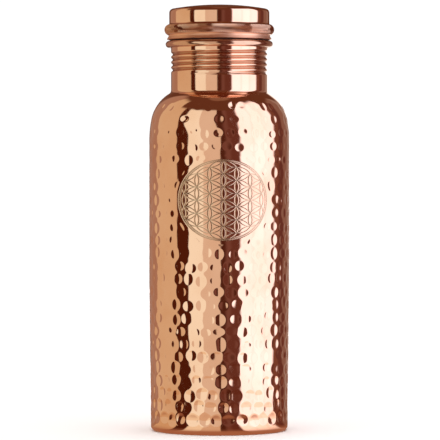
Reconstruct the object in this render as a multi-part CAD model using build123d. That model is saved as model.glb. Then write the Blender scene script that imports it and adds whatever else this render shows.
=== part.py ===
# Screw-top water bottle in hammered copper sheet, about 600 ml.
# Millimetres. Origin at the centre of the standing ring, +Z up through the mouth.
# The front, where the round engraving sits, faces -Y.
import os
from math import atan2, cos, degrees, hypot, radians, sin, sqrt

from build123d import *

# ---- Bottle: one spun and hammered shell of copper sheet ----
sheet = 0.7                 # copper sheet of the bottle
body_radius = 35.0          # outside of the straight wall
wall_top = 144.5            # height where the wall starts to turn in
taper_top = 75.0            # below this the wall narrows towards the foot
foot_taper = 0.8            # how much narrower the foot is, on the radius
foot_corner = 2.2           # outside radius between wall and standing ring
foot_ledge = 4.5            # width of the flat standing ring
ease_radius = 60.0          # first, gentle curve of the shoulder
ease_angle = 10.0           # degrees that the gentle curve turns through
shoulder_radius = 19.5      # main curve of the shoulder
neck_radius = 24.1          # outside of the neck
neck_fillet = 2.0           # between shoulder and neck
lip_roll = 1.7              # outside radius of the rolled lip
lip_roll_angle = 295.0      # degrees that the sheet is rolled through

# ---- Rolled thread, right-handed ----
thread_pitch = 2.6
ridge_height = 1.0          # how far a ridge stands out of its sheet
ridge_top = 0.3             # width of a ridge's flat top; its flanks are at 45 degrees
groove_floor = 0.12         # width of the groove's floor on the back of a ridge
thread_clearance = 0.3      # radial, between a ridge's top and the other sheet
neck_thread_rise = 8.1      # start of the neck's ridge above the neck fillet
thread_angle = -85.0        # degrees round from +X where both ridges start
neck_quarter_turns = 18     # length of the neck's ridge
thread_to_lip = 4.8         # from the end of the neck's ridge to the top of the lip
plug_quarter_turns = 14     # length of the plug's ridge
plug_thread_lag = 1.5       # turns between the start of the neck's ridge and the plug's

# ---- Base: a pan pressed up into the foot and brazed ----
braze_gap = 0.05
pan_corner = 2.0            # outside radius between the pan's floor and its flange
pan_flange = 5.0            # straight height of the flange
pan_flat = 7.0              # width of the flat ring inside the corner
pan_dome = 2.5              # rise of the middle of the floor

# ---- Lid: a pressed cap, a threaded plug soldered into it, and a seal ----
lid_sheet = 0.6
band_offset = 0.9           # cap's plain band outside the neck's radius
cap_height = 15.2           # from the skirt's edge to the top of the corner
cap_corner = 2.0
cap_dome = 2.0              # rise of the top's middle above the corner
bead_height = 4.7           # middle of the grip bead above the skirt's edge
bead_radius = 2.75
bead_stand_out = 2.5        # beyond the band
bead_fillet = 0.5           # where the bead meets the band and the skirt
skirt_gap = 0.85            # between the skirt's edge and the top of the lip
skirt_beyond_lip = 1.1      # skirt's edge beyond the centre of the rolled lip
plug_nose = 3.28            # underside of the floor below the start of the plug's ridge
plug_corner = 2.0
solder_gap = 0.08
seal_thickness = 2.0
seal_corner = 0.4
seal_gap = 0.06             # above and below the seal
seal_bore_gap = 0.15
seal_inset = 0.5            # seal's edge inside the centre of the rolled lip

# ---- Worked out from the sizes above ----
ease_centre = (body_radius - ease_radius, wall_top)
shoulder_centre = (
    ease_centre[0] + (ease_radius - shoulder_radius) * cos(radians(ease_angle)),
    ease_centre[1] + (ease_radius - shoulder_radius) * sin(radians(ease_angle)),
)
fillet_across = neck_radius + neck_fillet - shoulder_centre[0]
fillet_up = sqrt((shoulder_radius + neck_fillet) ** 2 - fillet_across**2)
neck_base = shoulder_centre[1] + fillet_up

neck_bore = neck_radius - sheet
neck_thread_start = neck_base + neck_thread_rise
lip_top = neck_thread_start + neck_quarter_turns / 4 * thread_pitch + thread_to_lip
lip_centre = (neck_bore + lip_roll, lip_top - lip_roll)

plug_radius = neck_bore - thread_clearance - ridge_height
plug_thread_start = neck_thread_start + plug_thread_lag * thread_pitch
flange_underside = lip_top + seal_thickness + 2 * seal_gap

band_radius = neck_radius + band_offset
skirt_edge = lip_top + skirt_gap
skirt_radius = lip_centre[0] + skirt_beyond_lip
top_corner_centre = (band_radius - cap_corner, skirt_edge + cap_height - cap_corner)


def polar(centre, radius, angle):
    """The point at an angle, in degrees, on a circle in the section plane."""
    return (
        centre[0] + radius * cos(radians(angle)),
        centre[1] + radius * sin(radians(angle)),
    )


def arc(centre, radius, start, end):
    """An arc about a centre, from one angle to another, in degrees."""
    points = [polar(centre, radius, angle) for angle in (start, (start + end) / 2, end)]
    return ThreePointArc(*points)


def crown(edge, edge_radius, rise):
    """The circle, centred on the axis, that bulges up by rise over a corner arc of
    edge_radius about edge. Gives its centre, its radius and the angle where they meet."""
    up = rise + edge_radius
    radius = (edge[0] ** 2 + up**2 - edge_radius**2) / (2 * (up - edge_radius))
    centre = (0, edge[1] + up - radius)
    return centre, radius, degrees(atan2(edge[1] - centre[1], edge[0]))


def sheet_section(outline, thickness):
    """A sheet's section. The outline is its outer side, with the metal on its left."""
    return make_face(offset(outline, thickness, side=Side.LEFT).edges())


def spun(section):
    """A section spun round the Z axis."""
    return revolve(Plane.XZ * section, Axis.Z)


def ridge_outline(root, outwards):
    """A thread ridge, as (out, along) points, rooted into its sheet. outwards is 1 for a
    ridge that points away from the axis and -1 for one that points to it."""
    base = ridge_top / 2 + ridge_height
    return [
        (-outwards * root, base),
        (0, base),
        (outwards * ridge_height, ridge_top / 2),
        (outwards * ridge_height, -ridge_top / 2),
        (0, -base),
        (-outwards * root, -base),
    ]


def groove_outline(thickness, outwards):
    """The groove on the back of a ridge, which leaves the ridge one sheet thick."""
    mouth = ridge_top / 2 + ridge_height - thickness * (sqrt(2) - 1)
    depth = mouth - groove_floor / 2
    above = thickness / 2
    return [
        (-outwards * above, mouth + above),
        (outwards * depth, groove_floor / 2),
        (outwards * depth, -groove_floor / 2),
        (-outwards * above, -mouth - above),
    ]


def helical_bar(radius, outline, quarter_turns, start):
    """A bar wound right-handed round the Z axis from +X, at a start height. Its path is
    in quarter turns, so that every face of the bar is a short one."""
    rise = thread_pitch / 4
    quarter = Helix(thread_pitch, rise, radius)
    steps = [Pos(0, 0, rise * i) * Rot(0, 0, 90 * i) * quarter for i in range(quarter_turns)]
    path = Wire([step.edge() for step in steps])
    section = Plane.XZ * Pos(radius, 0) * make_face(Polyline(*outline, close=True))
    return Pos(0, 0, start) * sweep(section, path, is_frenet=True)


def lip_section():
    """The neck's edge, rolled outwards and down until it nearly meets the neck."""
    inside = lip_roll - sheet
    end = 180 - lip_roll_angle
    return make_face([
        arc(lip_centre, lip_roll, 180, end),
        Line(polar(lip_centre, lip_roll, end), polar(lip_centre, inside, end)),
        arc(lip_centre, inside, end, 180),
        Line(polar(lip_centre, inside, 180), polar(lip_centre, lip_roll, 180)),
    ])


def bottle_body():
    """Foot, wall, shoulder, neck and rolled lip in one sheet, with the thread rolled in."""
    foot_radius = body_radius - foot_taper
    corner = (foot_radius - foot_corner, foot_corner)
    shoulder_end = degrees(atan2(fillet_up, fillet_across))
    outline = Wire([
        Line((corner[0] - foot_ledge, 0), (corner[0], 0)),
        arc(corner, foot_corner, -90, 0),
        Line((foot_radius, foot_corner), (body_radius, taper_top)),
        Line((body_radius, taper_top), (body_radius, wall_top)),
        arc(ease_centre, ease_radius, 0, ease_angle),
        arc(shoulder_centre, shoulder_radius, ease_angle, shoulder_end),
        arc((neck_radius + neck_fillet, neck_base), neck_fillet, shoulder_end + 180, 180),
        Line((neck_radius, neck_base), (neck_radius, lip_centre[1])),
    ])
    ridge = ridge_outline(sheet / 2, -1)
    groove = groove_outline(sheet, -1)
    shell = spun(sheet_section(outline, sheet) + lip_section())
    shell += helical_bar(neck_bore, ridge, neck_quarter_turns, neck_thread_start)
    shell -= helical_bar(neck_radius, groove, neck_quarter_turns, neck_thread_start)
    return Rot(0, 0, thread_angle) * shell


def base_pan():
    """The floor of the bottle: a shallow pan, domed up in the middle."""
    flange = body_radius - foot_taper - sheet - braze_gap
    floor = sheet + braze_gap
    corner = (flange - pan_corner, floor + pan_corner)
    flat = corner[0] - pan_flat
    dome_centre, dome_radius, dome_edge = crown((flat, floor), 0, pan_dome)
    outline = Wire([
        arc(dome_centre, dome_radius, 90, dome_edge),
        Line((flat, floor), (corner[0], floor)),
        arc(corner, pan_corner, -90, 0),
        Line((flange, corner[1]), (flange, corner[1] + pan_flange)),
    ])
    return spun(sheet_section(outline, sheet))


def lid_cap():
    """The outside of the lid: skirt, grip bead, plain band and domed top."""
    bead = (band_radius + bead_stand_out - bead_radius, skirt_edge + bead_height)
    half = sqrt(bead_radius**2 - (band_radius - bead[0]) ** 2)
    angle = degrees(atan2(half, band_radius - bead[0]))
    dome_centre, dome_radius, dome_edge = crown(top_corner_centre, cap_corner, cap_dome)
    outline = Wire([
        Line((skirt_radius, skirt_edge), (band_radius, bead[1] - half)),
        arc(bead, bead_radius, -angle, angle),
        Line((band_radius, bead[1] + half), (band_radius, top_corner_centre[1])),
        arc(top_corner_centre, cap_corner, 0, dome_edge),
        arc(dome_centre, dome_radius, dome_edge, 90),
    ])
    valleys = [
        point
        for point in outline.vertices()
        if hypot(point.X - band_radius, abs(point.Y - bead[1]) - half) < bead_fillet / 10
    ]
    return spun(sheet_section(outline.fillet_2d(bead_fillet, valleys), lid_sheet))


def lid_plug():
    """The cup that screws into the neck. Its flange is soldered into the waist of the cap,
    under the grip bead, and bears on the seal."""
    floor = plug_thread_start - plug_nose
    corner = (plug_radius - plug_corner, floor + plug_corner)
    rim = band_radius - lid_sheet - solder_gap
    outline = Wire([
        Line((0, floor), (corner[0], floor)),
        arc(corner, plug_corner, -90, 0),
        Line((plug_radius, corner[1]), (plug_radius, flange_underside)),
        Line((plug_radius, flange_underside), (rim, flange_underside)),
    ])
    ridge = ridge_outline(lid_sheet / 2, 1)
    groove = groove_outline(lid_sheet, 1)
    cup = spun(sheet_section(outline, lid_sheet))
    cup += helical_bar(plug_radius, ridge, plug_quarter_turns, plug_thread_start)
    bore = plug_radius - lid_sheet
    cup -= helical_bar(bore, groove, plug_quarter_turns, plug_thread_start)
    return Rot(0, 0, thread_angle) * cup


def seal_ring():
    """A flat silicone ring under the plug's flange, which presses on the rolled lip."""
    inside = plug_radius + seal_bore_gap
    outside = lip_centre[0] - seal_inset
    middle = ((inside + outside) / 2, lip_top + seal_gap + seal_thickness / 2)
    outline = Pos(*middle) * RectangleRounded(outside - inside, seal_thickness, seal_corner)
    return revolve(Plane.XZ * outline, Axis.Z)


os.makedirs("parts", exist_ok=True)
for make_piece in (bottle_body, base_pan, lid_cap, lid_plug, seal_ring):
    export_step(make_piece(), f"parts/{make_piece.__name__}.step")
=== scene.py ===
import math
import bmesh
import bpy
import numpy as np
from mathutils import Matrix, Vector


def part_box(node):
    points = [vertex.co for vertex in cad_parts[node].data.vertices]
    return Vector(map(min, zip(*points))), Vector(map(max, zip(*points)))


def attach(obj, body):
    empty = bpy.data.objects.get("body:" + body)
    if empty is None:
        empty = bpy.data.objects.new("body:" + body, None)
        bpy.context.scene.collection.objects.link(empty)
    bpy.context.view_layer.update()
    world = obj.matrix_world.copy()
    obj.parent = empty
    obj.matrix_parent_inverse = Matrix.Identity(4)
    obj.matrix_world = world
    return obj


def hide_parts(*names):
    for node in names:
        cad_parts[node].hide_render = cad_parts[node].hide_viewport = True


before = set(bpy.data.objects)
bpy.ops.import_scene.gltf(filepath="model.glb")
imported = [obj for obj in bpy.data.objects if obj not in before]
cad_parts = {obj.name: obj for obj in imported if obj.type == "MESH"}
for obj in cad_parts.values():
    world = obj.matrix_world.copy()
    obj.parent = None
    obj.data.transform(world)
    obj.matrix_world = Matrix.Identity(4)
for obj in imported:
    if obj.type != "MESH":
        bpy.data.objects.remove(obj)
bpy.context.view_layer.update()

# Lengths are in millimetres up to newPiece, the studio and the camera, which make them metres.
mm = 0.001
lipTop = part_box("bottle_body")[1][2] / mm
wallRadius = 35.0       # of the bottle's straight wall
merged = 1e-7           # points nearer than this many metres are one point


# Points along an arc about a centre, at most step apart: centre + radius (cos a, sin a).
def arc(centre, radius, start, end, step):
    count = max(2, int(math.ceil(abs(math.radians(end - start)) * radius / step)) + 1)
    angle = np.radians(np.linspace(start, end, count))
    return np.stack([centre[0] + radius * np.cos(angle), centre[1] + radius * np.sin(angle)], 1)


# Points along a straight line, at most step apart: a + t (b - a).
def line(a, b, step):
    count = max(2, int(math.ceil(math.dist(a, b) / step)) + 1)
    t = np.linspace(0, 1, count)[:, None]
    return np.array(a) + t * (np.array(b) - np.array(a))


# Stretches joined end to end, without the points that they share: those with no gap
# before them.
def joined(*stretches):
    points = np.concatenate(stretches)
    gap = np.linalg.norm(np.diff(points, axis=0), axis=1)
    return points[np.concatenate([[True], gap > 1e-6])]


# 0 below low, 1 above high and 3t^2 - 2t^3 between them.
def ease(value, low, high):
    t = np.clip((value - low) / (high - low), 0, 1)
    return t * t * (3 - 2 * t)


# A profile turned round the axis, as rows by columns by 3: (r cos a, r sin a, height).
def turned(radius, height, angle):
    return np.stack([radius * np.cos(angle), radius * np.sin(angle), height], -1)


# Unit normals of an outline of (radius, height) points, to the right of its direction:
# (dz, -dr) over the length of the step (dr, dz).
def outlineNormals(outline):
    slope = np.gradient(outline, axis=0)
    slope /= np.linalg.norm(slope, axis=1)[:, None]
    return np.stack([slope[:, 1], -slope[:, 0]], 1)


# Unit normals of a grid of points: the cross product of its gradients across and along.
def gridNormals(points, closed):
    wide = np.concatenate([points[:, -1:], points, points[:, :1]], 1) if closed else points
    across = np.gradient(wide, axis=1)
    across = across[:, 1:-1] if closed else across
    normal = np.cross(across, np.gradient(points, axis=0))
    return normal / np.linalg.norm(normal, axis=-1, keepdims=True)


# Quads between neighbouring rows and columns of an array of vertex numbers, which can join
# up with its own first column or first row.
def quads(number, closedAcross=False, closedAlong=False):
    if closedAcross:
        number = np.concatenate([number, number[:, :1]], 1)
    if closedAlong:
        number = np.concatenate([number, number[:1]], 0)
    corners = [number[:-1, :-1], number[:-1, 1:], number[1:, 1:], number[1:, :-1]]
    return np.stack(corners, -1).reshape(-1, 4)


# A mesh object from vertices in millimetres and faces, smooth except across sharp edges.
# Where normals are given, the first faces take them at their corners. Each layer becomes an
# attribute of the points.
def newPiece(
    name, points, faces, material, slot, body,
    normals=None, smoothFaces=0, sharpAngle=35, **layers,
):
    mesh = bpy.data.meshes.new(name)
    mesh.from_pydata((points.reshape(-1, 3) * mm).tolist(), [], [list(face) for face in faces])
    if normals is None:
        work = bmesh.new()
        work.from_mesh(mesh)
        bmesh.ops.remove_doubles(work, verts=work.verts, dist=merged)
        bmesh.ops.dissolve_degenerate(work, edges=work.edges, dist=merged / 10)
        work.to_mesh(mesh)
        work.free()
    mesh.shade_smooth()
    mesh.set_sharp_from_angle(angle=math.radians(sharpAngle))
    if normals is not None:
        corner = np.empty(len(mesh.loops), int)
        mesh.loops.foreach_get("vertex_index", corner)
        perCorner = np.zeros((len(corner), 3))
        perCorner[:smoothFaces * 4] = normals.reshape(-1, 3)[corner[:smoothFaces * 4]]
        mesh.normals_split_custom_set(perCorner.tolist())
    for layer, given in layers.items():
        values = np.zeros(len(mesh.vertices))
        count = min(given.size, len(values))
        values[:count] = given.ravel()[:count]
        mesh.attributes.new(layer, "FLOAT", "POINT").data.foreach_set("value", values)
    mesh.materials.append(material)
    piece = bpy.data.objects.new(name, mesh)
    bpy.context.scene.collection.objects.link(piece)
    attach(piece, body)
    return piece


# Wraps a socket, so that an expression on values adds its Math nodes.
class Value:
    def __init__(self, tree, socket):
        self.tree = tree
        self.socket = socket

    # a node of a kind, its settings first; an input is named, or i and its number
    def node(self, kind, settings=None, **inputs):
        made = self.tree.nodes.new(kind)
        for key, setting in (settings or {}).items():
            setattr(made, key, setting)
        for key, given in inputs.items():
            socket = made.inputs[int(key[1:])] if key[1:].isdigit() else made.inputs[key]
            if isinstance(given, Value):
                self.tree.links.new(given.socket, socket)
            else:
                socket.default_value = given
        return made

    # one output of such a node
    def output(self, kind, settings=None, out=0, **inputs):
        return Value(self.tree, self.node(kind, settings, **inputs).outputs[out])

    # a Math node of this value and others
    def math(self, operation, *others):
        inputs = {f"i{i}": other for i, other in enumerate((self, *others))}
        return self.output("ShaderNodeMath", {"operation": operation}, **inputs)

    def __add__(self, other):
        return self.math("ADD", other)

    def __sub__(self, other):
        return self.math("SUBTRACT", other)

    def __mul__(self, other):
        return self.math("MULTIPLY", other)

    def __truediv__(self, other):
        return self.math("DIVIDE", other)

    def __radd__(self, other):
        return self + other

    def __rsub__(self, other):
        return (self * -1) + other

    # 0 below low, 1 above high and a smooth step between them
    def between(self, low, high):
        ramp = {"interpolation_type": "SMOOTHSTEP"}
        ends = {"From Min": low, "From Max": high}
        return self.output("ShaderNodeMapRange", ramp, Value=self, **ends)

    # this much of the second colour over the first
    def mixed(self, first, second):
        first = first if isinstance(first, Value) else (*first, 1)
        second = second if isinstance(second, Value) else (*second, 1)
        colours = {"data_type": "RGBA"}
        return self.output("ShaderNodeMix", colours, out=2, i0=self, i6=first, i7=second)

    # the value with each of its parts times those of a fixed vector
    def scaled(self, factors):
        times = {"operation": "MULTIPLY"}
        return self.output("ShaderNodeVectorMath", times, i0=self, i1=factors)

    # the length of the vector
    def length(self):
        return self.output("ShaderNodeVectorMath", {"operation": "LENGTH"}, out=1, i0=self)

    # noise at this place, scaled up by scale
    def noise(self, scale, detail):
        return self.output("ShaderNodeTexNoise", Vector=self, Scale=scale, Detail=detail)

    # this value as a bump of a height in metres
    def bump(self, height, strength=1.0):
        return self.output("ShaderNodeBump", Height=self, Distance=height, Strength=strength)

    # a named attribute of the points
    def attribute(self, name):
        return self.output("ShaderNodeAttribute", {"attribute_name": name}, out=2)


# A new material with its Principled shader, and a Value on its Object coordinates.
def newMaterial(name, **sockets):
    material = bpy.data.materials.new(name)
    material.use_nodes = True
    tree = material.node_tree
    shader = tree.nodes["Principled BSDF"]
    for key, setting in sockets.items():
        shader.inputs[key.replace("_", " ")].default_value = setting
    place = Value(tree, tree.nodes.new("ShaderNodeTexCoord").outputs["Object"])
    return material, shader, place


# Links a Value to one socket of a shader.
def feed(shader, socket, value):
    value.tree.links.new(value.socket, shader.inputs[socket])


copper = {
    "colour": (0.93, 0.555, 0.385),
    "deep": (0.88, 0.49, 0.32),
    "polish": 0.05,         # roughness where it is best polished
    "handled": 0.10,        # roughness where it is handled
    "patchSize": 45.0,      # noise scale of the handled patches, per metre
    "patchEdge": (0.38, 0.72),
    "grainSize": 1400.0,    # noise scale of the polishing grain, per metre
    "grainDrawn": (0.25, 0.25, 1),
    "grainHeight": 0.0000012,
    # painted shade: the colour of the engraved grooves, where they are cut deepest
    "engravedGrooveShade": (0.48, 0.315, 0.20),
    "engravedRough": 0.34,
    "threadGrooveShade": (0.50, 0.23, 0.135),    # painted shade in the thread's groove
    "threadRough": 0.22,
    "lipShade": 0.5,          # how much of the thread groove's painted shade and dullness the lip has
    "knurlHollowShade": (0.32, 0.12, 0.065),     # painted shade between the knurl's diamonds
    "skirtRough": 0.42,     # below the lid's bead
}


# Polished copper: noise in large soft patches mixes two tones and two roughnesses, and a
# fine noise drawn out round the axis gives the grain that the polishing mop leaves. Where
# the attribute cut is above 0 the metal is darkened as painted shade, in the grooves and
# hollows, and where dull is, it is rougher.
def polishedCopper(name, cutShadeColour, dullRough):
    material, shader, place = newMaterial(name, Metallic=1.0)
    worn = place.noise(copper["patchSize"], 3.0).between(*copper["patchEdge"])
    tone = worn.mixed(copper["colour"], copper["deep"])
    # painted shade: the base colour goes towards the given shade colour where the cut attribute is
    # above 0
    feed(shader, "Base Color", place.attribute("cut").mixed(tone, cutShadeColour))
    rough = worn * (copper["handled"] - copper["polish"]) + copper["polish"]
    rough = rough + place.attribute("dull") * (dullRough - copper["polish"])
    feed(shader, "Roughness", rough)
    grain = place.scaled(copper["grainDrawn"]).noise(copper["grainSize"], 2.0)
    feed(shader, "Normal", grain.bump(copper["grainHeight"]))
    return material


lathed = {
    "colour": (0.90, 0.52, 0.35),
    "deep": (0.74, 0.38, 0.24),
    "patchSize": 70.0,      # noise scale of the patches, per metre
    "patchEdge": (0.3, 0.75),
    "rough": 0.14,
    "patchRough": 0.16,     # more of it in the patches
    "flatter": (1, 1, 0.3),
    "ringSize": 2500.0,     # noise scale of the rings, per metre
    "ringHeight": 0.000012,
}


# Pressed copper: rings about the axis from the lathe, as a noise of the distance from it,
# over cloudy patches that differ in tone and in how dull they are.
def pressedCopper(name):
    material, shader, place = newMaterial(name, Metallic=1.0)
    patch = place.noise(lathed["patchSize"], 4.0)
    tone = patch.between(*lathed["patchEdge"]).mixed(lathed["colour"], lathed["deep"])
    feed(shader, "Base Color", tone)
    feed(shader, "Roughness", patch * lathed["patchRough"] + lathed["rough"])
    reach = place.scaled(lathed["flatter"]).length()
    alongOne = {"noise_dimensions": "1D"}
    scale = lathed["ringSize"]
    rings = reach.output("ShaderNodeTexNoise", alongOne, W=reach, Scale=scale, Detail=2.0)
    feed(shader, "Normal", rings.bump(lathed["ringHeight"]))
    return material


silicone = {
    "colour": (0.10, 0.040, 0.028),
    "pale": (0.14, 0.060, 0.042),
    "patchSize": 300.0,     # noise scale of the mottling, per metre
    "patchEdge": (0.3, 0.7),
    "rough": 0.42,
    "patchRough": 0.15,
    "shine": 0.4,
    "height": 0.00002,
}


# Silicone: a noise gives a dark rubber its faint mottling, in tone, dullness and height.
def darkSilicone(name):
    material, shader, place = newMaterial(name, Specular_IOR_Level=silicone["shine"])
    patch = place.noise(silicone["patchSize"], 3.0)
    tone = patch.between(*silicone["patchEdge"]).mixed(silicone["colour"], silicone["pale"])
    feed(shader, "Base Color", tone)
    feed(shader, "Roughness", patch * silicone["patchRough"] + silicone["rough"])
    feed(shader, "Normal", patch.bump(silicone["height"], 0.6))
    return material


# The wall's sizes are those of the CAD part.
wall = {
    "sheet": 0.7,
    "columns": 540,
    "step": 0.42,           # mesh spacing up the wall
    "roundStep": 0.3,       # and on its small rounds, at the foot and the neck
    "ledgeStep": 1.5,
    "splitStep": 0.4,
    "insideEvery": 6,       # rows of the outside to one of the inside
    "taperTop": 75.0,
    "footTaper": 0.8,
    "footCorner": 2.2,
    "footLedge": 4.5,
    "wallTop": 144.5,
    "easeRadius": 60.0,
    "easeAngle": 10.0,
    "shoulderRadius": 19.5,
    "neckRadius": 24.1,
    "neckFillet": 2.0,
    "splitRise": 0.8,       # the neck's mesh starts this far above the fillet
}

hammer = {
    "low": 7.6,             # height of the lowest row of marks
    "high": 163.0,
    "foot": (3.0, 6.5),     # heights over which the marks begin, and over which they end
    "shoulder": (160.0, 168.0),
    "pitchLow": 6.1,        # between rows, near the foot
    "pitchHigh": 6.8,       # between rows, under the neck
    "across": 6.3,          # between marks in a row
    "radiusLow": 2.95,
    "radiusHigh": 2.2,
    "depthLow": 0.50,
    "depthHigh": 0.26,
    "deepest": 0.56,
    "radii": (0.85, 1.1),   # least and most of the row's own
    "depths": (0.6, 1.25),
    "missed": 0.08,         # share of the marks that are missing in the highest row
    "rim": 0.2,             # how softly a mark's edge rolls over
    "reach": 1.3,           # of a mark, in its radii
    "scatter": 0.6,         # how far a mark strays from its place
    "scatterUp": 0.7,       # how much of that it strays up the wall
    "lean": 0.22,           # how far the bowls lean, and how oval they are
    "oval": 0.09,
    "waves": 0.055,         # depth of the wall's long waves
    "waveLength": 17.0,
    "waveSlant": (7.1, 5.3),                # heights over which they turn by a radian
    "seed": 11,
}

engraving = {
    "angle": -86.6,         # of its middle, round from +X
    "height": 115.4,
    "halfWidth": 23.4,      # of the outer ring, along the wall
    "halfHeight": 19.8,
    "ringGap": 0.95,
    "column": 6.7,          # between columns of the lattice
    "rung": 6.44,           # between points in a column
    "reach": 3,             # points from the middle to a corner
    "line": 0.40,           # width of a cut
    "depth": 0.12,
    "edge": (0.2, 1.5),     # where a cut's floor and its side end, in half widths
    "ticks": 260,
    "tickDepth": 0.7,       # of a line's
    "clear": 1.2,           # plain metal round the outer ring
    "margin": 1.6,          # of the finely meshed panel round the ring
    "finer": 3,             # panel cells to one cell of the wall
}

ledgeEdge = wallRadius - wall["footTaper"] - wall["footCorner"] - wall["footLedge"]
easeCentre = (wallRadius - wall["easeRadius"], wall["wallTop"])
bend = math.radians(wall["easeAngle"])
shorter = wall["easeRadius"] - wall["shoulderRadius"]
shoulderCentre = (
    easeCentre[0] + shorter * math.cos(bend),
    easeCentre[1] + shorter * math.sin(bend),
)
filletAcross = wall["neckRadius"] + wall["neckFillet"] - shoulderCentre[0]
filletUp = math.sqrt((wall["shoulderRadius"] + wall["neckFillet"]) ** 2 - filletAcross**2)
neckBase = shoulderCentre[1] + filletUp
splitHeight = neckBase + wall["splitRise"]


# The wall's outer side, from the standing ring up to the neck: ring, corner, straight
# taper, straight wall, two shoulder arcs and the neck's fillet.
def wallOutline(step):
    foot = wallRadius - wall["footTaper"]
    corner = (foot - wall["footCorner"], wall["footCorner"])
    end = math.degrees(math.atan2(filletUp, filletAcross))
    fillet = (wall["neckRadius"] + wall["neckFillet"], neckBase)
    return joined(
        line((ledgeEdge, 0), (corner[0], 0), wall["ledgeStep"]),
        arc(corner, wall["footCorner"], -90, 0, wall["roundStep"]),
        line((foot, corner[1]), (wallRadius, wall["taperTop"]), step),
        line((wallRadius, wall["taperTop"]), (wallRadius, wall["wallTop"]), step),
        arc(easeCentre, wall["easeRadius"], 0, wall["easeAngle"], step),
        arc(shoulderCentre, wall["shoulderRadius"], wall["easeAngle"], end, step),
        arc(fillet, wall["neckFillet"], end + 180, 180, wall["roundStep"]),
        line((wall["neckRadius"], neckBase), (wall["neckRadius"], splitHeight), wall["splitStep"]),
    )


# Where a point lies against the engraving's outer ring: 0 in its middle, 1 on the ring.
def ringReach(angle, height, grow=0.0):
    turn = np.angle(np.exp(1j * (angle - math.radians(engraving["angle"]))))
    across = turn * wallRadius / (engraving["halfWidth"] + grow)
    up = (height - engraving["height"]) / (engraving["halfHeight"] + grow)
    return np.hypot(across, up)


# Where the hammer fell: rows round the wall, whose spacing, radius and depth go evenly from
# their low to their high value, each mark strayed a little from its place.
def hammerMarks():
    draw = np.random.default_rng(hammer["seed"])
    marks = []
    height = hammer["low"]
    while height < hammer["high"]:
        share = (height - hammer["low"]) / (hammer["high"] - hammer["low"])
        count = int(round(2 * math.pi * wallRadius / hammer["across"]))
        turn = 2 * math.pi * (np.arange(count) + draw.uniform(0, 1)) / count
        stray = draw.normal(0, hammer["scatter"], (2, count))
        radius = hammer["radiusLow"] + share * (hammer["radiusHigh"] - hammer["radiusLow"])
        depth = hammer["depthLow"] + share * (hammer["depthHigh"] - hammer["depthLow"])
        radii = radius * draw.uniform(*hammer["radii"], count)
        depths = depth * draw.uniform(*hammer["depths"], count)
        depths *= draw.uniform(0, 1, count) > hammer["missed"] * share
        lean = draw.normal(0, hammer["lean"], (2, count))
        oval = draw.normal(1, hammer["oval"], count)
        place = (turn + stray[0] / wallRadius, height + stray[1] * hammer["scatterUp"])
        marks.append(np.stack([*place, radii, depths, *lean, oval], 1))
        height += hammer["pitchLow"] + share * (hammer["pitchHigh"] - hammer["pitchLow"])
    return np.concatenate(marks)


# How deep the hammer has driven each point: under each mark a bowl, depth times s(1 - q^2)
# with q the distance from its middle over its radius and s a ramp with a soft corner,
# somewhat oval and leaning to one side; where marks meet, the deeper one; under them all,
# long shallow waves.
def hammered(angle, along, height, marks):
    driven = np.zeros_like(angle)
    rows = along[:, 0]
    reach = hammer["reach"]
    soft = hammer["rim"]
    start = 1 - reach**2
    offset = (start + math.hypot(start, soft)) / 2
    for turn, level, radius, depth, leanAcross, leanUp, oval in marks:
        near = np.abs(rows - level) < reach * radius
        if depth == 0 or not near.any():
            continue
        x = np.angle(np.exp(1j * (angle[near] - turn))) * wallRadius / radius
        y = (along[near] - level) / radius
        t = 1 - (x * oval) ** 2 - (y / oval) ** 2
        bowl = np.clip((t + np.hypot(t, soft)) / 2 - offset, 0, None)
        bowl = depth * bowl * (1 + x * leanAcross + y * leanUp)
        driven[near] = np.maximum(driven[near], bowl)
    driven = np.minimum(driven, hammer["deepest"])
    waves = 2 * math.pi * wallRadius / hammer["waveLength"]
    slantUp, slantDown = hammer["waveSlant"]
    wave = np.sin(round(waves) * angle + along / slantUp)
    wave *= np.sin(along * 2 * math.pi / hammer["waveLength"] + 3 * angle)
    wave += np.sin(round(0.6 * waves) * angle - along / slantDown)
    driven = driven + hammer["waves"] * (0.5 + 0.25 * wave)
    clear = ringReach(angle, height, engraving["clear"])
    ends = ease(height, *hammer["foot"]) * (1 - ease(height, *hammer["shoulder"]))
    return driven * ease(clear, 1.0, 1.1) * ends


# The engraving's lattice points, along and up the wall from its middle: columns that lose
# one point for each step to the side, which makes a hexagon.
def latticePoints():
    reach = engraving["reach"]
    points = []
    for column in range(-reach, reach + 1):
        count = 2 * reach + 1 - abs(column)
        for k in range(count):
            points.append((column * engraving["column"], (k - (count - 1) / 2) * engraving["rung"]))
    return np.array(points)


# Distance from points to an arc of sixty degrees that bulges from its chord a-b: how far
# they are off its radius, or beyond its ends, from the nearer end.
def arcDistance(x, y, a, b, side):
    halfArc = math.radians(30)
    chord = np.hypot(*(b - a))
    along = (b - a) / chord
    across = np.array([-along[1], along[0]]) * side
    centre = (a + b) / 2 - across * chord * math.cos(halfArc)
    u = (x - centre[0]) * along[0] + (y - centre[1]) * along[1]
    v = (x - centre[0]) * across[0] + (y - centre[1]) * across[1]
    ends = np.minimum(np.hypot(x - a[0], y - a[1]), np.hypot(x - b[0], y - b[1]))
    inside = np.abs(np.arctan2(u, v)) < halfArc
    return np.where(inside, np.abs(np.hypot(u, v) - chord), ends)


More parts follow.
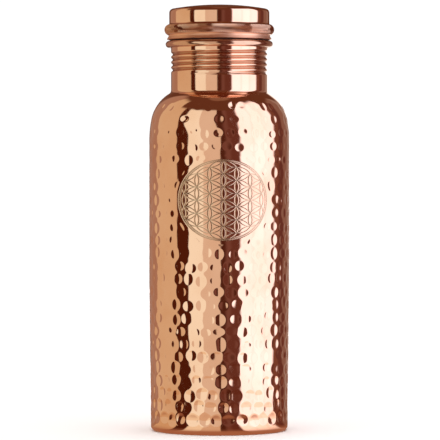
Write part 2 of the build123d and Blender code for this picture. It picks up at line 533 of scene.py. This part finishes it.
# Distance from each point of a grid to the nearest cut of the lattice: between each pair
# of neighbouring points lie two arcs, one bulging to each side.
def latticeDistance(across, up):
    stretch = engraving["column"] / (engraving["rung"] * math.cos(math.radians(30)))
    x = across / stretch
    points = latticePoints() / np.array([stretch, 1])
    nearest = np.full_like(across, 9.0)
    gap = engraving["rung"]
    for i, a in enumerate(points):
        for b in points[i + 1:]:
            if abs(np.hypot(*(b - a)) - gap) > 0.1 * gap:
                continue
            middle = (a + b) / 2
            near = np.hypot(x - middle[0], up - middle[1]) < 0.75 * gap
            for side in (-1, 1):
                found = arcDistance(x[near], up[near], a, b, side)
                nearest[near] = np.minimum(nearest[near], found)
    return nearest


# How deep the engraving is cut, from 0 to 1: lines with a rounded floor, a double ring
# and the ticks between its two lines.
def engraved(angle, height):
    across = (angle - math.radians(engraving["angle"])) * wallRadius
    up = height - engraving["height"]
    half = engraving["line"] / 2
    size = (engraving["halfWidth"] + engraving["halfHeight"]) / 2
    gap = engraving["ringGap"] / size
    reach = ringReach(angle, height)
    fromRings = np.minimum(np.abs(reach - 1), np.abs(reach - 1 + gap)) * size
    nearest = np.minimum(latticeDistance(across, up), fromRings)
    floor, side = engraving["edge"]
    cut = 1 - ease(nearest, floor * half, side * half)
    between = (reach < 1) & (reach > 1 - gap)
    turn = np.arctan2(up / engraving["halfHeight"], across / engraving["halfWidth"])
    ticks = 0.5 + 0.5 * np.cos(turn * engraving["ticks"])
    return np.maximum(cut, between * ticks * engraving["tickDepth"])


# A tile of the wall: its hammered outside, a coarser inside one sheet's thickness in, and
# the walls between them. A tile that goes all the way round has no side walls.
def makeTile(name, material, closed, outside, normals, flat, inward, cut=np.zeros(1)):
    rows, columns = outside.shape[:2]
    picked = np.unique(np.append(np.arange(0, rows, wall["insideEvery"]), rows - 1))
    inside = flat[picked] + inward[picked] * wall["sheet"]
    points = np.concatenate([outside.reshape(-1, 3), inside.reshape(-1, 3)])
    outer = np.arange(rows * columns).reshape(rows, columns)
    inner = rows * columns + np.arange(len(picked) * columns).reshape(len(picked), columns)
    skin = quads(outer, closedAcross=closed)
    faces = [skin, quads(inner[::-1], closedAcross=closed)]
    faces.append(quads(np.stack([inner[0], outer[0]]), closedAcross=closed))
    faces.append(quads(np.stack([outer[-1], inner[-1]]), closedAcross=closed))
    faces = [tuple(face) for face in np.concatenate(faces)]
    if not closed:
        faces.append((*outer[::-1, 0], *inner[:, 0]))
        faces.append((*outer[:, -1], *inner[::-1, -1]))
    # cut darkens the outside with the engraved grooves' painted shade, and makes it duller
    settings = {"normals": normals, "smoothFaces": len(skin), "cut": cut, "dull": cut}
    piece = newPiece(name, points, faces, material, "hammered_copper", "bottle", **settings)
    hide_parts("bottle_body")
    return len(faces)


# Spreads a coarse grid over a finer one by linear interpolation along both of its sides.
def spread(grid, finer):
    rows = np.arange((len(grid) - 1) * finer + 1) / finer
    low = np.minimum(rows.astype(int), len(grid) - 2)
    part = (rows - low).reshape(-1, *[1] * (grid.ndim - 1))
    tall = grid[low] * (1 - part) + grid[low + 1] * part
    columns = np.arange((grid.shape[1] - 1) * finer + 1) / finer
    low = np.minimum(columns.astype(int), grid.shape[1] - 2)
    part = (columns - low).reshape(1, -1, *[1] * (grid.ndim - 2))
    return tall[:, low] * (1 - part) + tall[:, low + 1] * part


# The wall over rows of an outline and columns at some angles: its angles and heights, its
# places before hammering, the way into the sheet at each, and how deep each is driven.
def surface(outline, outward, level, turn, marks):
    angle, height = np.meshgrid(turn, outline[:, 1])
    along = np.broadcast_to(level[:, None], angle.shape)
    driven = hammered(angle, along, height, marks)
    flat = turned(outline[:, :1], height, angle)
    inward = -turned(outward[:, :1], np.broadcast_to(outward[:, 1:], angle.shape), angle)
    return angle, height, flat, inward, driven


# The wall: its outline turned round the axis and driven in by the hammer, in four bands,
# of which the third is open round the engraved panel. The panel is the same wall on a
# finer grid, which keeps to the coarse one along its border.
def makeWall(material):
    marks = hammerMarks()
    outline = wallOutline(wall["step"])
    outward = outlineNormals(outline)
    length = np.concatenate([[0], np.cumsum(np.linalg.norm(np.diff(outline, axis=0), axis=1))])
    ringWidth = wall["footLedge"] + math.pi / 2 * wall["footCorner"]
    level = length - ringWidth + wall["footCorner"]
    turn = 2 * math.pi * np.arange(wall["columns"]) / wall["columns"] - math.pi
    _, _, flat, inward, driven = surface(outline, outward, level, turn, marks)
    outside = flat + inward * driven[..., None]
    normals = gridNormals(outside, closed=True)

    # the panel's window, in whole cells of the wall's grid
    middle = math.radians(engraving["angle"])
    half = (engraving["halfWidth"] + engraving["margin"]) / wallRadius
    rise = engraving["halfHeight"] + engraving["margin"]
    left = int(np.argmin(np.abs(turn - (middle - half))))
    right = int(np.argmin(np.abs(turn - (middle + half))))
    low = int(np.argmin(np.abs(outline[:, 1] - (engraving["height"] - rise))))
    high = int(np.argmin(np.abs(outline[:, 1] - (engraving["height"] + rise))))

    total = 0
    rings = [0, low // 2, low, high, len(outline) - 1]
    for number, (start, end) in enumerate(zip(rings[:-1], rings[1:])):
        rows = slice(start, end + 1)
        columns = np.arange(wall["columns"])
        closed = start != low
        if not closed:
            columns = np.roll(columns, -right)[:wall["columns"] - (right - left) + 1]
        parts = (grid[rows][:, columns] for grid in (outside, normals, flat, inward))
        total += makeTile(f"wallBand{number + 1}", material, closed, *parts)

    # the panel: the same wall on a finer grid, with the engraving cut in
    finer = engraving["finer"]
    window = (slice(low, high + 1), slice(left, right + 1))
    along = np.arange(low * finer, high * finer + 1) / finer
    whole = np.arange(len(outline))
    fine = np.stack([np.interp(along, whole, outline[:, k]) for k in (0, 1)], 1)
    fineOut = np.tile([1.0, 0.0], (len(fine), 1))
    levels = np.interp(along, whole, level)
    turns = np.linspace(turn[left], turn[right], (right - left) * finer + 1)
    angle, height, flatFine, inwardFine, driven = surface(fine, fineOut, levels, turns, marks)
    # the engraving's depth, which also paints shade into its grooves through the cut attribute
    cut = engraved(angle, height)
    face = flatFine + inwardFine * (driven + cut * engraving["depth"])[..., None]
    border = np.ones(face.shape[:2], bool)
    border[1:-1, 1:-1] = False
    face[border] = spread(outside[window], finer)[border]
    fineNormals = gridNormals(face, closed=False)
    fineNormals[border] = spread(normals[window], finer)[border]
    across = len(turns) // 2
    halves = {"engravedLeft": slice(0, across + 1), "engravedRight": slice(across, None)}
    for name, columns in halves.items():
        parts = (grid[:, columns] for grid in (face, fineNormals, flatFine, inwardFine, cut))
        total += makeTile(name, material, False, *parts)
    print("wall:", total, "faces")


neck = {
    "pitch": 2.6,
    "rise": 8.1,            # start of the groove above the neck's base
    "angle": -85.0,         # where the groove starts, round from +X
    "turns": 4.5,
    "depth": 0.85,
    "ridge": 0.85,
    "round": 1.1,           # above 1, the crests are wider than the grooves
    "fade": 0.16,           # turns over which the groove runs out at each end
    "lipRoll": 1.7,
    "lipRollAngle": 295.0,
    "threadStep": 0.15,     # mesh spacing on the thread, the plain neck, its bore and the lip
    "plainStep": 0.8,
    "boreStep": 2.0,
    "lipStep": 0.25,
    "lipInStep": 0.35,
    "columns": 360,
}


# How deep the rolled thread is at a point, from 0 to 1: a raised cosine across the groove,
# whose middle climbs one pitch a turn, fading over the first and last part of a turn.
def threadAt(angle, height, start, turns):
    share = np.mod(angle - math.radians(neck["angle"]), 2 * math.pi) / (2 * math.pi)
    level = (height - start) / neck["pitch"]
    lap = np.round(level - share) + share
    offset = np.clip(np.abs(level - lap) * 2, 0, 1)
    ends = ease(lap, -neck["fade"], neck["fade"])
    ends = ends * (1 - ease(lap, turns - neck["fade"], turns + neck["fade"]))
    return ends * (0.5 + 0.5 * np.cos(math.pi * offset)) ** neck["round"]


# The neck: a closed section, up its outside, round the curled lip and down its bore, turned
# round the axis, with its radius less by the thread's depth at each point.
def makeNeck(material):
    outerRadius = wall["neckRadius"]
    bore = outerRadius - wall["sheet"]
    centre = (bore + neck["lipRoll"], lipTop - neck["lipRoll"])
    start = neckBase + neck["rise"]
    threadLow = start - neck["pitch"]
    end = 180 - neck["lipRollAngle"]
    inside = neck["lipRoll"] - wall["sheet"]
    up = joined(
        line((outerRadius, splitHeight), (outerRadius, threadLow), neck["plainStep"]),
        line((outerRadius, threadLow), (outerRadius, centre[1]), neck["threadStep"]),
    )
    curl = joined(
        arc(centre, inside, 180, end, neck["lipInStep"]),
        arc(centre, neck["lipRoll"], end, 180, neck["lipStep"]),
    )
    down = joined(
        line((bore, centre[1]), (bore, threadLow), 2 * neck["threadStep"]),
        line((bore, threadLow), (bore, splitHeight), neck["boreStep"]),
    )
    section = np.concatenate([up, curl[1:-1], down])
    depth = np.concatenate([
        np.full(len(up), neck["depth"]),
        np.zeros(len(curl) - 2),
        np.full(len(down), neck["ridge"]),
    ])
    turn = 2 * math.pi * np.arange(neck["columns"]) / neck["columns"] - math.pi
    angle, height = np.meshgrid(turn, section[:, 1])
    thread = threadAt(angle, height, start, neck["turns"])
    radius = section[:, :1] - depth[:, None] * thread
    points = turned(radius, height, angle)
    number = np.arange(points[..., 0].size).reshape(points.shape[:2])
    faces = quads(number, closedAcross=True, closedAlong=True)
    # painted shade in the thread's groove, and a share of it on the curled lip
    cut = thread * (depth[:, None] > 0)
    cut[len(up):-len(down)] = copper["lipShade"]
    settings = {"cut": cut, "dull": cut}
    piece = newPiece("bottleNeck", points, faces, material, "hammered_copper", "bottle", **settings)
    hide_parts("bottle_body")
    print("neck:", len(piece.data.polygons), "faces")


lid = {
    "sheet": 0.6,
    "bandRadius": 25.0,
    "corner": 2.0,
    "dome": 2.0,
    "height": 15.2,
    "beadHeight": 4.7,
    "beadRadius": 2.75,
    "beadStandOut": 2.5,
    "beadFillet": 0.5,
    "skirtGap": 0.85,
    "skirtRadius": 26.2,
    "knurls": 156,          # diamonds round the bead
    "knurlHeight": 1.0,     # of one diamond, along the bead's section
    "knurlDepth": 0.3,
    "shadeLessAbove": 0.5,           # how much less painted shade the knurl's hollows get on the bead's upper side, as if lit from above
    "shadeLessTilt": (-0.3, 0.6),
    "skirtStep": 0.6,       # mesh spacing on the skirt, the small rounds, the band and the top
    "roundStep": 0.25,
    "bandStep": 2.0,
    "domeStep": 2.5,
    "insideCoarser": 3.0,   # how many times wider the spacing is inside
}


# The cap's outer side from its skirt to the middle of the top, as (radius, height) points
# with the fillets between band, bead and skirt worked out as tangent arcs. The arc of the
# bead has two points to each diamond.
def capOutline(depth, fine):
    skirtEdge = lipTop + lid["skirtGap"]
    band = lid["bandRadius"]
    bead = (band + lid["beadStandOut"] - lid["beadRadius"], skirtEdge + lid["beadHeight"])
    corner = (band - lid["corner"], skirtEdge + lid["height"] - lid["corner"])
    rise = lid["dome"] + lid["corner"]
    domeRadius = (corner[0] ** 2 + rise**2 - lid["corner"] ** 2) / (2 * lid["dome"])
    domeCentre = (0.0, corner[1] + rise - domeRadius)
    domeEdge = math.degrees(math.atan2(corner[1] - domeCentre[1], corner[0]))

    # upper fillet: touches the band's line and the bead's circle from outside
    fillet = lid["beadFillet"]
    out = band + fillet - bead[0]
    reach = math.sqrt((lid["beadRadius"] + fillet) ** 2 - out**2)
    upper = (band + fillet, bead[1] + reach)
    upperAngle = math.degrees(math.atan2(reach, out))

    # lower fillet: touches the skirt's line and the bead's circle from outside
    half = math.sqrt(lid["beadRadius"] ** 2 - (band - bead[0]) ** 2)
    foot = np.array([lid["skirtRadius"], skirtEdge])
    along = np.array([band, bead[1] - half]) - foot
    along /= np.linalg.norm(along)
    outward = np.array([along[1], -along[0]])
    base = foot + outward * fillet - np.array(bead)
    apart = lid["beadRadius"] + fillet
    slide = -base @ along - math.sqrt((base @ along) ** 2 - base @ base + apart**2)
    lower = foot + outward * fillet + along * slide
    lowerAngle = math.degrees(math.atan2(lower[1] - bead[1], lower[0] - bead[0]))
    skirtAngle = math.degrees(math.atan2(-outward[1], -outward[0])) % 360
    inset = outward * depth
    knurlStep = lid["knurlHeight"] / 2 * fine
    return joined(
        line(foot - inset, foot + along * slide - inset, lid["skirtStep"] * fine),
        arc(lower, fillet + depth, skirtAngle, lowerAngle + 180, lid["roundStep"] * fine),
        arc(bead, lid["beadRadius"] - depth, lowerAngle, upperAngle, knurlStep),
        arc(upper, fillet + depth, upperAngle + 180, 180, lid["roundStep"] * fine),
        line((band - depth, upper[1]), (band - depth, corner[1]), lid["bandStep"] * fine),
        arc(corner, lid["corner"] - depth, 0, domeEdge, lid["roundStep"] * fine),
        arc(domeCentre, domeRadius - depth, domeEdge, 90, lid["domeStep"] * fine),
    ), bead


# The cap: its outline turned round the axis. On the bead every other point, chequerwise,
# is pushed in, and each square there is cut in two along the line between its low points,
# so that the knurl's diamonds are left standing.
def makeCap(material):
    outer, bead = capOutline(0, 1.0)
    inner, _ = capOutline(lid["sheet"], lid["insideCoarser"])
    outward = outlineNormals(outer)
    turn = math.pi * np.arange(2 * lid["knurls"]) / lid["knurls"]
    angle, height = np.meshgrid(turn, outer[:, 1])
    fromBead = np.hypot(outer[:, 0] - bead[0], outer[:, 1] - bead[1])
    onBead = np.flatnonzero(np.abs(fromBead - lid["beadRadius"]) < 0.01)[2:-2]
    tilt = np.arctan2(outer[:, 1] - bead[1], outer[:, 0] - bead[0])
    row, column = np.indices(angle.shape)
    low = (row + column) % 2 == 0
    cut = np.zeros_like(angle)
    cut[onBead] = lid["knurlDepth"] * low[onBead]
    outside = turned(outer[:, :1] - cut * outward[:, :1], height - cut * outward[:, 1:], angle)
    angleIn, heightIn = np.meshgrid(turn, inner[::-1, 1])
    inside = turned(np.broadcast_to(inner[::-1, :1], angleIn.shape), heightIn, angleIn)
    points = np.concatenate([outside, inside])
    number = np.arange(points[..., 0].size).reshape(points.shape[:2])
    first, last = onBead[0] - 1, onBead[-1] + 1
    faces = quads(number[:first + 1], closedAcross=True).tolist()
    faces += quads(np.concatenate([number[last:], number[:1]]), closedAcross=True).tolist()
    squares = quads(number[first:last + 1], closedAcross=True)
    starts = low[first:last].ravel()
    squares[~starts] = np.roll(squares[~starts], -1, axis=1)
    faces += squares[:, [0, 1, 2]].tolist() + squares[:, [0, 2, 3]].tolist()
    under = np.broadcast_to(np.arange(len(points))[:, None] < first, points.shape[:2])
    low[:onBead[0]] = low[onBead[-1] + 1:] = False
    # painted shade in the knurl's hollows, lighter on the bead's upper side as if lit from above
    shade = low * (1 - lid["shadeLessAbove"] * ease(tilt[:, None], *lid["shadeLessTilt"]))
    settings = {"cut": shade, "dull": under.astype(float), "sharpAngle": 45}
    piece = newPiece("lidCap", points, faces, material, "polished_copper", "lid", **settings)
    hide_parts("lid_cap")
    print("cap:", len(piece.data.polygons), "faces")


makeWall(polishedCopper("hammeredCopper", copper["engravedGrooveShade"], copper["engravedRough"]))
makeNeck(polishedCopper("rolledCopper", copper["threadGrooveShade"], copper["threadRough"]))
makeCap(polishedCopper("lidCopper", copper["knurlHollowShade"], copper["skirtRough"]))
pressed = pressedCopper("pressedCopper")
for node, material in (
    ("base_pan", pressed),
    ("lid_plug", pressed),
    ("seal_ring", darkSilicone("silicone")),
):
    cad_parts[node].data.materials.clear()
    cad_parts[node].data.materials.append(material)
print("pan, plug and seal: new materials")


studio = {
    # upright reflector cards round the bottle: where each starts, in degrees to the right
    # of the camera, at the table and beside the neck, how soft that edge is, and its light
    "cards": (
        (-180, -180, 1.0, (0.80, 0.78, 0.74)),
        (-165, -165, 3.0, (0.20, 0.10, 0.07)),
        (-145, -145, 3.0, (0.43, 0.28, 0.21)),
        (-108, -108, 1.0, (0.71, 0.60, 0.42)),
        (-62.5, -63.5, 0.8, (0.080, 0.017, 0.006)),
        (-44, -53, 0.8, (1.01, 1.14, 1.06)),
        (-22, -29, 0.6, (0.785, 0.73, 0.63)),
        (1.5, -4.5, 0.8, (0.085, 0.025, 0.014)),
        (9.0, 4.5, 3.0, (0.19, 0.085, 0.070)),
        (16.0, 11.0, 3.0, (0.145, 0.050, 0.036)),
        (29.5, 26.5, 2.2, (1.55, 1.72, 2.08)),
        (47, 46, 2.0, (1.46, 1.57, 1.87)),
        (51, 50, 2.0, (1.60, 1.78, 2.15)),
        (67, 67, 2.0, (1.46, 1.57, 1.87)),
        (71, 71, 2.0, (1.50, 1.66, 2.00)),
        (87, 89, 3.0, (0.20, 0.08, 0.055)),
        (100, 100, 3.0, (0.14, 0.050, 0.040)),
        (112, 112, 3.0, (0.26, 0.15, 0.12)),
        (130, 130, 4.0, (0.36, 0.26, 0.22)),
        (150, 150, 3.0, (1.30, 1.28, 1.25)),
        (172, 172, 3.0, (0.20, 0.12, 0.10)),
    ),
    "slides": (0.152, 0.176),               # metres up, from the first start to the second
    "cardDistance": 110.0,  # from the bottle's axis
    "cardTop": 244.0,
    "cardFade": 9.0,        # how softly the cards end at their tops
    "tallTop": 320.0,       # some stand taller: the bright one and the one far left
    "tallFade": 30.0,
    "bright": (30.0, 88.0),
    "left": -80.0,
    "backTop": 200.0,       # those behind the bottle, lower
    "back": 135.0,
    "above": (0.137, 0.051, 0.027),
    "zenith": (0.26, 0.14, 0.09),
    "zenithWidth": 10.0,
    "table": (0.40, 0.19, 0.11),
    "tableTint": (0.93, 0.80, 0.68),        # of the cards' light on the table, further out
    "tableReach": (0.032, 0.072),           # metres out, over which that light comes in
    "backdrop": 1.05,
    "floor": 60000.0,       # half its side
    "floorGap": 0.05,       # under the standing ring
    "floorColour": (0.9, 0.9, 0.9, 1),
    "floorRough": 0.9,
    "sun": 3.8,
    "sunWidth": 100.0,
}


# The cards' colour at an azimuth in degrees: it steps from card to card, and each step's
# place slides from its low to its high value as slide goes from 0 to 1.
def cardColour(azimuth, slide):
    colour = studio["cards"][0][3]
    for low, high, soft, shade in studio["cards"][1:]:
        step = (azimuth - slide * (high - low)).between(low - soft, low + soft)
        colour = step.mixed(colour, shade)
    return colour


# A new material for setGlow, with its Object coordinates, the height, and the azimuth in
# degrees to the right of the camera, which is the arc tangent of x over -y.
def newGlow(name):
    material, _, place = newMaterial(name)
    split = place.node("ShaderNodeSeparateXYZ", i0=place)
    x, y, z = (Value(place.tree, out) for out in split.outputs)
    azimuth = x.math("ARCTAN2", y * -1) * (180 / math.pi)
    return material, place, z, azimuth


# Puts a glow of the given colour in place of the material's shader.
def setGlow(material, colour):
    tree = material.node_tree
    glow = colour.node("ShaderNodeEmission", Color=colour, Strength=1.0)
    tree.links.new(glow.outputs[0], tree.nodes["Material Output"].inputs["Surface"])


# A ring of upright cards that only reflections see. Each ends at its own top: those to the
# bright card's side and far left are taller, and those behind the bottle lower.
def makeCards():
    material, _, z, azimuth = newGlow("cards")
    colour = cardColour(azimuth, z.between(*studio["slides"]))
    start, end = studio["bright"]
    tall = azimuth.between(start - 2, start) * (1 - azimuth.between(end, end + 2))
    tall = tall + (1 - azimuth.between(studio["left"] - 5, studio["left"] + 5))
    behind = azimuth.math("ABSOLUTE").between(studio["back"] - 8, studio["back"] + 8)
    more = studio["tallTop"] - studio["cardTop"]
    less = studio["backTop"] - studio["cardTop"]
    top = studio["cardTop"] + tall * more
    top = top + behind * less - tall * behind * more
    fade = studio["cardFade"] + tall * (studio["tallFade"] - studio["cardFade"])
    over = (z * (1 / mm) - top) / fade
    setGlow(material, over.between(-1, 1).mixed(colour, studio["above"]))
    turn = np.linspace(-math.pi, math.pi, 181)[:-1]
    angle, height = np.meshgrid(turn, [0, studio["tallTop"] + studio["tallFade"]])
    points = turned(studio["cardDistance"], height, angle)
    faces = quads(np.arange(points[..., 0].size).reshape(points.shape[:2]), closedAcross=True)
    addStage("cards", points, faces, material, onlyReflected=True)


# A stage object that either only reflections see, or that they don't see.
def addStage(name, points, faces, material, onlyReflected):
    mesh = bpy.data.meshes.new(name)
    mesh.from_pydata((points.reshape(-1, 3) * mm).tolist(), [], faces.tolist())
    mesh.materials.append(material)
    stage = bpy.data.objects.new(name, mesh)
    bpy.context.scene.collection.objects.link(stage)
    stage.visible_camera = not onlyReflected
    stage.visible_diffuse = not onlyReflected
    stage.visible_shadow = not onlyReflected
    stage.visible_glossy = onlyReflected


# The room above the cards, by the elevation, the arc sine of the way's height: dark, with a
# soft light straight overhead. The camera sees a plain white backdrop.
def makeWorld():
    world = bpy.data.worlds.new("studio")
    bpy.context.scene.world = world
    world.use_nodes = True
    tree = world.node_tree
    way = Value(tree, tree.nodes.new("ShaderNodeTexCoord").outputs["Object"])
    z = way.output("ShaderNodeSeparateXYZ", out=2, i0=way)
    elevation = z.math("ARCSINE") * (180 / math.pi)
    edge = 90 - studio["zenithWidth"]
    colour = elevation.between(edge - 2, edge + 2).mixed(studio["above"], studio["zenith"])
    seen = Value(tree, tree.nodes.new("ShaderNodeLightPath").outputs["Is Camera Ray"])
    colour = seen.mixed(colour, [studio["backdrop"]] * 3)
    feed(tree.nodes["Background"], "Color", colour)


# The pale floor, which reflections don't see; instead of it they see a warm table, brown
# beside the bottle and taking the cards' colours further out. A wide sun lights the floor.
def makeFloor():
    corners = np.array([(-1.0, -1.0, 0.0), (1.0, -1.0, 0.0), (1.0, 1.0, 0.0), (-1.0, 1.0, 0.0)])
    square = np.array([(0, 1, 2, 3)])
    below = np.array([0, 0, studio["floorGap"]])
    pale = {"Roughness": studio["floorRough"], "Base_Color": studio["floorColour"]}
    material, _, _ = newMaterial("paleFloor", **pale)
    addStage("floor", corners * studio["floor"] - below, square, material, onlyReflected=False)
    material, place, _, azimuth = newGlow("table")
    reach = place.length()
    tinted = cardColour(azimuth, azimuth * 0).scaled(studio["tableTint"])
    further = reach.between(*studio["tableReach"])
    setGlow(material, further.mixed(studio["table"], tinted))
    corners = corners * studio["cardDistance"] - 2 * below
    addStage("table", corners, square, material, onlyReflected=True)
    sun = bpy.data.lights.new("overhead", "SUN")
    sun.energy = studio["sun"]
    sun.angle = math.radians(studio["sunWidth"])
    holder = bpy.data.objects.new("overhead", sun)
    holder.visible_glossy = False
    bpy.context.scene.collection.objects.link(holder)


camera = {
    "distance": 1530.0,     # from the bottle's axis
    "height": 134.0,
    "middle": 105.05,       # height at the picture's middle
    "aside": 0.35,
    "width": 220.0,         # seen across the picture at the bottle's axis
    "sensor": 36.0,
    "near": 10.0,           # what it can see lies between these distances
    "far": 200000.0,
}


# The camera: its focal length is sensor times distance over width, and it looks down at the
# picture's middle by the arc tangent of its height above that over the distance.
def makeCamera():
    lens = bpy.data.cameras.new("camera")
    lens.sensor_width = camera["sensor"]
    lens.lens = camera["sensor"] * camera["distance"] / camera["width"]
    lens.clip_start = camera["near"] * mm
    lens.clip_end = camera["far"] * mm
    holder = bpy.data.objects.new("camera", lens)
    holder.location = (camera["aside"] * mm, -camera["distance"] * mm, camera["height"] * mm)
    tilt = math.atan2(camera["height"] - camera["middle"], camera["distance"])
    holder.rotation_euler = (math.pi / 2 - tilt, 0, 0)
    bpy.context.scene.collection.objects.link(holder)
    bpy.context.scene.camera = holder


makeCards()
makeWorld()
makeFloor()
makeCamera()
bpy.context.scene.view_settings.view_transform = "Standard"
print("studio and camera ready")
